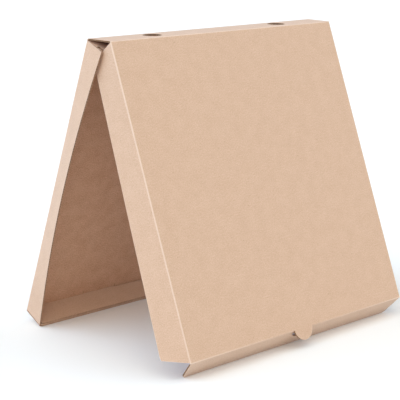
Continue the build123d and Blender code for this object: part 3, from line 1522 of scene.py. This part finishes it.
    def trim_foot(self, inner: bpy.types.Object) -> None:
        """Trims the inner layer's foot so that it's clear of the floor between the tabs.

        Args:
            inner: the flat inner layer.
        """
        tall = self.board.thick
        inside = self.lock_spread - self.lock_width / 2
        low = Vector((-inside, -tall, -tall))
        high = Vector((inside, self.foot_clearance, tall))
        self.board.die_cut(inner, add_block("clearance", low, high))

    @staticmethod
    def turn_inside_out(obj: bpy.types.Object) -> None:
        """Swaps the two liners of a layer that is rolled right over.

        Args:
            obj: the flat layer.
        """
        swap = {Paper.OUTER.value: Paper.INNER.value, Paper.INNER.value: Paper.OUTER.value}
        for face in obj.data.polygons:
            face.material_index = swap.get(face.material_index, face.material_index)

    def rolled_rim(self, half_wide: float) -> bpy.types.Object:
        """Rolls the rim: the board's edge is spun over one bend, run on, and spun again.

        Args:
            half_wide: half the rim's width.

        Returns:
            The rim, standing on the front wall.
        """
        half = self.board.half
        flat_run = self.layer_step - 2 * self.bend
        first = Vector((0, self.front_height - self.bend, -self.bend))
        second = first - Vector((0, 0, flat_run))
        low = Vector((-half_wide, self.front_height - self.rim_round, -half))
        high = Vector((half_wide, self.front_height - self.bend, half))
        rim = add_block("rolled_rim", low, high)
        with editing(rim, "FACE"):
            pick_faces(rim, lambda centre, normal: normal.y > SQUARE_ON)
            for centre, run_on in ((first, (0, 0, -flat_run)), (second, (0, -half, 0))):
                bpy.ops.mesh.spin(
                    steps=self.rim_steps,
                    angle=math.pi / 2,
                    center=centre,
                    axis=(-1, 0, 0),
                    dupli=False,
                )
                bpy.ops.mesh.extrude_region_move(TRANSFORM_OT_translate={"value": run_on})
        self.board.clad(rim, Paper.OUTER)
        lay_out_uv(rim, self.rim_shift)
        bend_foot = self.front_height - self.bend
        # The rim's top is lightened: rubbing and painted highlight.
        mark_wear_and_highlight(rim, lambda co: self.rim_wear_and_highlight if co.y > bend_foot else 0.0)
        self.stand_up(rim, self.floor_corner)
        return rim

    def side_walls(self) -> list[bpy.types.Object]:
        """Builds the right side wall and mirrors it.

        Returns:
            The right and left walls.
        """
        last = self.floor_length + self.board.thick
        wall = self.board.sheet(
            "tray_right_wall_board",
            Vector((0, self.wall_start, 0)),
            Vector((self.side_height, last, 0)),
            BEND_ROWS,
        )
        lean = math.radians(self.front_lean)
        stop = self.floor_length - math.cos(lean) * (self.board.half + self.end_gap)
        slice_off(wall, Vector((0, stop, 0)), Vector((-math.sin(lean), math.cos(lean), 0)))
        band_edges(wall, self.board.face_level, lambda co: 1.0)
        lay_out_uv(wall, self.wall_shift)
        self.spring.bend(wall, self.wall_start, last, self.side_height)
        out = self.creases.sideways
        down = self.creases.tray_down
        origin = self.creases.tray_hinge + out * self.wall_axis
        Lay(origin, down.cross(out), down, out).seat(wall)
        return [wall, mirrored(wall, "tray_left_wall_board")]

    def corner_flaps(self) -> list[bpy.types.Object]:
        """Builds the rear and front corner flaps of the left side and mirrors them.

        Returns:
            The four corner flaps.
        """
        made = []
        up = -self.creases.tray_out
        down = self.creases.tray_down
        lean = math.radians(self.front_lean)
        rear_root = self.creases.tray_hinge + down * (self.wall_start + self.board.half)
        front_foot = self.floor_corner - self.front_out * self.layer_step / 2
        front_root = self.creases.tray_hinge + down * front_foot.y - up * front_foot.z
        front_up = up * math.cos(lean) + down * math.sin(lean)
        front_out = down * math.cos(lean) - up * math.sin(lean)
        places = (
            ("rear", rear_root, up, -down, self.spring.start),
            ("front", front_root, front_up, front_out, self.spring.end),
        )
        for end, root, rise, out, slope in places:
            flap = self.corner_flap(f"tray_{end}_left_corner_board", slope, slit=end == "rear")
            origin = root - self.creases.sideways * self.wall_axis
            Lay(origin, rise, self.creases.sideways, out).seat(flap)
            made.extend([flap, mirrored(flap, f"tray_{end}_right_corner_board")])
        return made

    def corner_flap(self, name: str, slope: float, slit: bool) -> bpy.types.Object:
        """Makes one flat corner flap, X up its height and Y away from the side wall.

        Args:
            name: the flap's name.
            slope: lean of the side wall where the flap starts, in degrees.
            slit: True cuts the slit that the lid's side flap slides through.

        Returns:
            The flap, still flat.
        """
        rise = math.radians(slope)
        overhang = self.corner_height * math.tan(rise)
        flap = self.board.sheet(
            name,
            Vector((self.corner_foot, -overhang, 0)),
            Vector((self.corner_height, self.corner_reach, 0)),
        )
        slice_off(flap, Vector((0, 0, 0)), Vector((-math.sin(rise), -math.cos(rise), 0)))
        slice_off(
            flap,
            Vector((self.corner_foot, self.corner_reach, 0)),
            Vector((self.corner_taper, self.corner_height - self.corner_foot, 0)),
        )
        if slit:
            low = Vector((self.slit_foot, self.slit_start, -self.board.thick))
            far_side = self.slit_start + self.slit_width
            high = Vector((2 * self.corner_height, far_side, self.board.thick))
            self.board.die_cut(flap, add_block("slit", low, high))
        band_edges(flap, self.board.face_level, lambda co: 1.0)
        lay_out_uv(flap, self.corner_shift)
        return flap


# --------------------------------------------------------------------------------------
# Studio
# --------------------------------------------------------------------------------------


@dataclass(frozen=True)
class LampBank:
    """A bank of lamps: the way to it from the box, and its light.

    The power is the light on a surface that faces the bank, in watts per square metre.
    """

    name: str
    toward: tuple[float, float, float]
    power: float
    colour: str


LAMP_BANKS = (
    LampBank("overhead_bank", (-0.5, -0.35, 0.79), 1.88, "#fff7e7"),
    LampBank("front_bank", (0.7, -0.5, 0.5), 1.55, "#deedfb"),
    LampBank("left_bank", (-0.8, 0.5, 0.4), 1.9, "#b8daff"),
    LampBank("rear_bank", (0, 1, 0.5), 0.85, "#ffffff"),
)


@dataclass
class Studio:
    """White floor, soft white surround, four wide banks of lamps and the camera."""

    azimuth: float = -42.99
    elevation: float = 12.9
    distance: float = 1.4202
    aim: Vector = field(default_factory=lambda: Vector((-0.0336, -0.0081, 0.145)))
    lens: float = 117.04
    near_clip: float = 0.01
    surround: float = 0.27
    bank_width: float = 75.0
    bank_distance: float = 2.0
    floor_size: float = 60.0

    def build(self) -> None:
        """Builds the floor, the surround, the lights and the camera."""
        self.floor()
        self.world()
        for bank in LAMP_BANKS:
            self.hang(bank)
        self.camera()

    def floor(self) -> None:
        """Lays the floor at the object's foot."""
        bpy.ops.mesh.primitive_plane_add(size=self.floor_size, location=(0, 0, 0))
        floor = bpy.context.active_object
        floor.name = "floor"
        floor.data.materials.append(StudioFloor().material())

    def world(self) -> None:
        """Sets the surround: pure white where it is seen, and softer as a light."""
        world = bpy.data.worlds.new("white_surround")
        world.use_nodes = True
        tree = world.node_tree
        seen = add_node(tree, "ShaderNodeLightPath").outputs["Is Camera Ray"]
        # 0 to 1 becomes the surround's strength as a light to its full strength as seen.
        strength = add_node(
            tree, "ShaderNodeMapRange", inputs={0: seen, 3: self.surround, 4: 1.0}
        ).outputs[0]
        tree.links.new(strength, tree.nodes["Background"].inputs["Strength"])
        tree.nodes["Background"].inputs["Color"].default_value = (1, 1, 1, 1)
        bpy.context.scene.world = world

    def hang(self, bank: LampBank) -> None:
        """Hangs a wide, far bank of lamps, so that its shadows stay soft.

        Args:
            bank: the bank to hang.
        """
        toward = Vector(bank.toward)
        bpy.ops.object.light_add(type="SUN", location=toward * self.bank_distance)
        lamp = bpy.context.active_object
        lamp.name = bank.name
        lamp.data.energy = bank.power
        lamp.data.angle = math.radians(self.bank_width)
        lamp.data.color = linear(bank.colour)[:3]
        lamp.rotation_euler = toward.to_track_quat("Z", "Y").to_euler()

    def camera(self) -> None:
        """Sets up the camera."""
        azimuth, elevation = math.radians(self.azimuth), math.radians(self.elevation)
        back = Vector((
            math.sin(azimuth) * math.cos(elevation),
            -math.cos(azimuth) * math.cos(elevation),
            math.sin(elevation),
        ))
        bpy.ops.object.camera_add(location=self.aim + back * self.distance)
        camera = bpy.context.active_object
        camera.name = "camera"
        camera.rotation_euler = (-back).to_track_quat("-Z", "Y").to_euler()
        camera.data.lens = self.lens
        camera.data.clip_start = self.near_clip
        bpy.context.scene.camera = camera


def corners(bounds: tuple[Vector, Vector]) -> list[list[float]]:
    """Two corners as plain lists."""
    return [list(corner) for corner in bounds]


def main() -> None:
    """Builds the box and its studio."""
    logging.basicConfig(level=logging.INFO, format="%(message)s")
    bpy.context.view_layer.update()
    bpy.context.scene.view_settings.view_transform = "Standard"
    papers = {paper: finish.material() for paper, finish in FINISHES.items()}
    creases = Creases.from_frame()
    board = Board(papers)
    for part in (Lid, Spine, TuckFlap, SideFlaps, Tray):
        part(creases, board).build()
        log.info("built %s", part.__name__)
    Studio().build()


if __name__ == "__main__":
    main()
